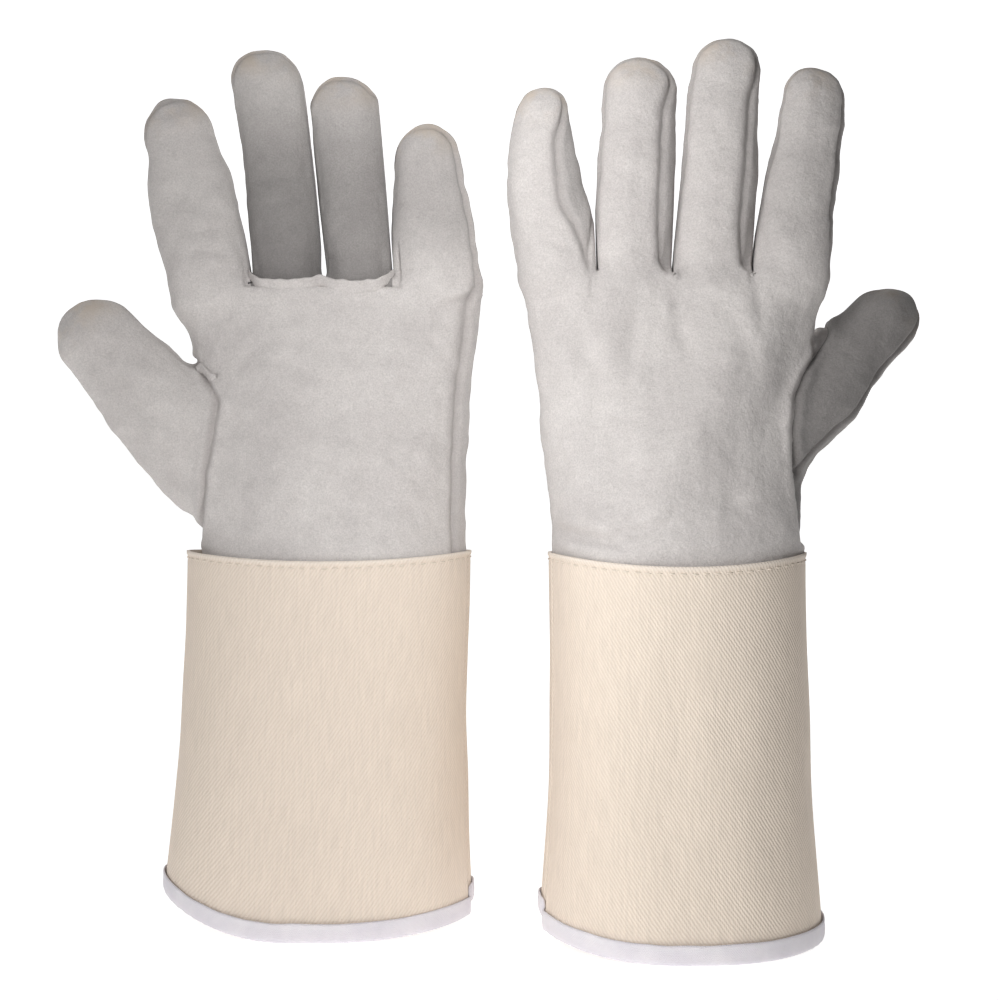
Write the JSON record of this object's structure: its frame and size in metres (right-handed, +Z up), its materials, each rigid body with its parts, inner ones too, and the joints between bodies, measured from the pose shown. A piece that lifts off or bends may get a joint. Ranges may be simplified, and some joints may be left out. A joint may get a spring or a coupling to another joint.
{
  "type": "pair of beekeeping gloves",
  "caption": "Pair of gauntlets with split-leather hands and long canvas cuffs with taped hems; every finger, thumb and wrist folds.",
  "frame": {"origin": "on the floor, in the middle of the pair's box", "axes": "+Z up towards the fingertips, +X from glove A, palm to -Y, to glove B, back to -Y"},
  "size_m": [0.388, 0.1316, 0.3867],
  "materials": {
    "suede": "napped split leather, pale warm grey",
    "canvas": "unbleached cotton twill",
    "hem_tape": "white cotton bias tape",
    "thread": "ecru cotton sewing thread"
  },
  "bodies": {
    "glove_a_cuff": {"glove_a_cuff_panel": "canvas", "glove_a_cuff_hem_binding": "hem_tape", "glove_a_cuff_side_seam": "canvas", "glove_a_cuff_top_stitching": "thread"},
    "glove_a_hand": {"glove_a_palm_panel": "suede", "glove_a_back_panel": "suede", "glove_a_finger_base_welt": "suede", "glove_a_thumb_web_gusset": "suede"},
    "glove_a_index_base": {"glove_a_index_base_front": "suede", "glove_a_index_base_back": "suede"},
    "glove_a_index_tip": {"glove_a_index_tip_front": "suede", "glove_a_index_tip_back": "suede"},
    "glove_a_middle_base": {"glove_a_middle_base_front": "suede", "glove_a_middle_base_back": "suede"},
    "glove_a_middle_tip": {"glove_a_middle_tip_front": "suede", "glove_a_middle_tip_back": "suede"},
    "glove_a_ring_base": {"glove_a_ring_base_front": "suede", "glove_a_ring_base_back": "suede"},
    "glove_a_ring_tip": {"glove_a_ring_tip_front": "suede", "glove_a_ring_tip_back": "suede"},
    "glove_a_little_base": {"glove_a_little_base_front": "suede", "glove_a_little_base_back": "suede"},
    "glove_a_little_tip": {"glove_a_little_tip_front": "suede", "glove_a_little_tip_back": "suede"},
    "glove_a_thumb_base": {"glove_a_thumb_base_front": "suede", "glove_a_thumb_base_back": "suede"},
    "glove_a_thumb_tip": {"glove_a_thumb_tip_front": "suede", "glove_a_thumb_tip_back": "suede"},
    "glove_b_cuff": {"glove_b_cuff_panel": "canvas", "glove_b_cuff_hem_binding": "hem_tape", "glove_b_cuff_side_seam": "canvas", "glove_b_cuff_top_stitching": "thread"},
    "glove_b_hand": {"glove_b_palm_panel": "suede", "glove_b_back_panel": "suede", "glove_b_finger_base_welt": "suede", "glove_b_thumb_web_gusset": "suede"},
    "glove_b_index_base": {"glove_b_index_base_front": "suede", "glove_b_index_base_back": "suede"},
    "glove_b_index_tip": {"glove_b_index_tip_front": "suede", "glove_b_index_tip_back": "suede"},
    "glove_b_middle_base": {"glove_b_middle_base_front": "suede", "glove_b_middle_base_back": "suede"},
    "glove_b_middle_tip": {"glove_b_middle_tip_front": "suede", "glove_b_middle_tip_back": "suede"},
    "glove_b_ring_base": {"glove_b_ring_base_front": "suede", "glove_b_ring_base_back": "suede"},
    "glove_b_ring_tip": {"glove_b_ring_tip_front": "suede", "glove_b_ring_tip_back": "suede"},
    "glove_b_little_base": {"glove_b_little_base_front": "suede", "glove_b_little_base_back": "suede"},
    "glove_b_little_tip": {"glove_b_little_tip_front": "suede", "glove_b_little_tip_back": "suede"},
    "glove_b_thumb_base": {"glove_b_thumb_base_front": "suede", "glove_b_thumb_base_back": "suede"},
    "glove_b_thumb_tip": {"glove_b_thumb_tip_front": "suede", "glove_b_thumb_tip_back": "suede"}
  },
  "joints": [
    {"name": "glove_a_wrist_fold", "type": "hinge", "parent": "glove_a_cuff", "child": "glove_a_hand", "pos_m": [-0.07308, -0.0148, 0.166], "axis": [1, 0, 0], "range_deg": [0, 40]},
    {"name": "glove_a_index_base_fold", "type": "hinge", "parent": "glove_a_hand", "child": "glove_a_index_base", "pos_m": [-0.12358, 0.00645, 0.287], "axis": [0.9781, 0, 0.2079], "range_deg": [0, 75]},
    {"name": "glove_a_index_middle_fold", "type": "hinge", "parent": "glove_a_index_base", "child": "glove_a_index_tip", "pos_m": [-0.13223, 0.00781, 0.32769], "axis": [0.9781, 0, 0.2079], "range_deg": [0, 85]},
    {"name": "glove_a_middle_base_fold", "type": "hinge", "parent": "glove_a_hand", "child": "glove_a_middle_base", "pos_m": [-0.08958, 0.00645, 0.287], "axis": [0.9925, 0, 0.1219], "range_deg": [0, 75]},
    {"name": "glove_a_middle_middle_fold", "type": "hinge", "parent": "glove_a_middle_base", "child": "glove_a_middle_tip", "pos_m": [-0.09555, 0.00772, 0.33563], "axis": [0.9925, 0, 0.1219], "range_deg": [0, 85]},
    {"name": "glove_a_ring_base_fold", "type": "hinge", "parent": "glove_a_hand", "child": "glove_a_ring_base", "pos_m": [-0.05608, 0.00645, 0.287], "axis": [0.9969, 0, 0.0785], "range_deg": [0, 75]},
    {"name": "glove_a_ring_middle_fold", "type": "hinge", "parent": "glove_a_ring_base", "child": "glove_a_ring_tip", "pos_m": [-0.05942, 0.00774, 0.32937], "axis": [0.9969, 0, 0.0785], "range_deg": [0, 85]},
    {"name": "glove_a_little_base_fold", "type": "hinge", "parent": "glove_a_hand", "child": "glove_a_little_base", "pos_m": [-0.02258, 0.00645, 0.287], "axis": [0.9994, 0, 0.0349], "range_deg": [0, 75]},
    {"name": "glove_a_little_middle_fold", "type": "hinge", "parent": "glove_a_little_base", "child": "glove_a_little_tip", "pos_m": [-0.02369, 0.00788, 0.3187], "axis": [0.9994, 0, 0.0349], "range_deg": [0, 85]},
    {"name": "glove_a_thumb_base_fold", "type": "hinge", "parent": "glove_a_hand", "child": "glove_a_thumb_base", "pos_m": [-0.12958, 0.0032, 0.213], "axis": [0, 0, 1], "range_deg": [0, 40]},
    {"name": "glove_a_thumb_middle_fold", "type": "hinge", "parent": "glove_a_thumb_base", "child": "glove_a_thumb_tip", "pos_m": [-0.16058, 0.0062, 0.243], "axis": [0.766, 0, 0.6428], "range_deg": [0, 45]},
    {"name": "glove_b_wrist_fold", "type": "hinge", "parent": "glove_b_cuff", "child": "glove_b_hand", "pos_m": [0.07992, 0.0333, 0.166], "axis": [-1, 0, 0], "range_deg": [0, 40]},
    {"name": "glove_b_index_base_fold", "type": "hinge", "parent": "glove_b_hand", "child": "glove_b_index_base", "pos_m": [0.13042, 0.00255, 0.287], "axis": [-0.9877, 0, 0.1564], "range_deg": [0, 75]},
    {"name": "glove_b_index_middle_fold", "type": "hinge", "parent": "glove_b_index_base", "child": "glove_b_index_tip", "pos_m": [0.13701, 0.0012, 0.3286], "axis": [-0.9877, 0, 0.1564], "range_deg": [0, 85]},
    {"name": "glove_b_middle_base_fold", "type": "hinge", "parent": "glove_b_hand", "child": "glove_b_middle_base", "pos_m": [0.09642, 0.00255, 0.287], "axis": [-0.9969, 0, 0.0785], "range_deg": [0, 75]},
    {"name": "glove_b_middle_middle_fold", "type": "hinge", "parent": "glove_b_middle_base", "child": "glove_b_middle_tip", "pos_m": [0.10034, 0.00129, 0.33685], "axis": [-0.9969, 0, 0.0785], "range_deg": [0, 85]},
    {"name": "glove_b_ring_base_fold", "type": "hinge", "parent": "glove_b_hand", "child": "glove_b_ring_base", "pos_m": [0.06292, 0.00255, 0.287], "axis": [-0.9997, 0, 0.0262], "range_deg": [0, 75]},
    {"name": "glove_b_ring_middle_fold", "type": "hinge", "parent": "glove_b_ring_base", "child": "glove_b_ring_tip", "pos_m": [0.0641, 0.00127, 0.33198], "axis": [-0.9997, 0, 0.0262], "range_deg": [0, 85]},
    {"name": "glove_b_little_base_fold", "type": "hinge", "parent": "glove_b_hand", "child": "glove_b_little_base", "pos_m": [0.02942, 0.00255, 0.287], "axis": [-0.9903, 0, -0.1392], "range_deg": [0, 75]},
    {"name": "glove_b_little_middle_fold", "type": "hinge", "parent": "glove_b_little_base", "child": "glove_b_little_tip", "pos_m": [0.02443, 0.00116, 0.32253], "axis": [-0.9903, 0, -0.1392], "range_deg": [0, 85]},
    {"name": "glove_b_thumb_base_fold", "type": "hinge", "parent": "glove_b_hand", "child": "glove_b_thumb_base", "pos_m": [0.13642, 0.0058, 0.213], "axis": [0, 0, 1], "range_deg": [0, 20]},
    {"name": "glove_b_thumb_middle_fold", "type": "hinge", "parent": "glove_b_thumb_base", "child": "glove_b_thumb_tip", "pos_m": [0.16017, 0.01036, 0.243], "axis": [-0.7976, -0.2592, 0.5446], "range_deg": [0, 45]},
    {"name": "gloves_apart", "type": "slide", "parent": "glove_a_cuff", "child": "glove_b_cuff", "axis": [1, 0, 0], "range_m": [0, 0.1]}
  ]
}
